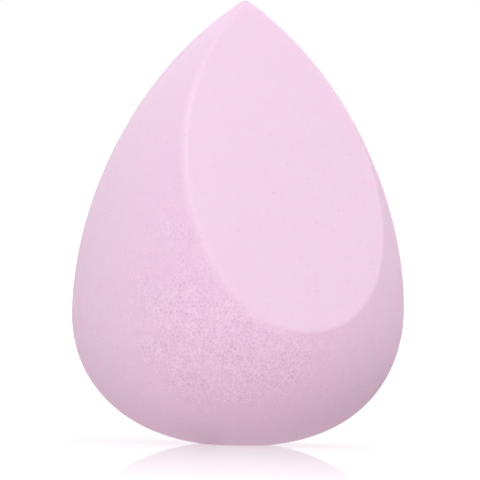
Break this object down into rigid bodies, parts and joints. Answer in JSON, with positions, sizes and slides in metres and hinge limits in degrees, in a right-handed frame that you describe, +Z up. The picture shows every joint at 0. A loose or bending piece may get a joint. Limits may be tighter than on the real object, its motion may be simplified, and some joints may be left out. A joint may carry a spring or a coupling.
{
  "type": "makeup sponge",
  "caption": "Teardrop makeup sponge of soft foam with a pointed tip, a rounded base that stands up by itself and a slanted flat face down its front.",
  "frame": {"origin": "centre of the flat foot, on the surface that the sponge stands on", "axes": "+Z up the body to the tip; -Y is the side that the slanted face looks towards; +X is to the right of someone who looks at the slanted face"},
  "size_m": [0.0448, 0.0447, 0.06],
  "materials": {
    "foam": "matte"
  },
  "bodies": {
    "root": {"sponge_body": "foam"}
  },
  "joints": []
}
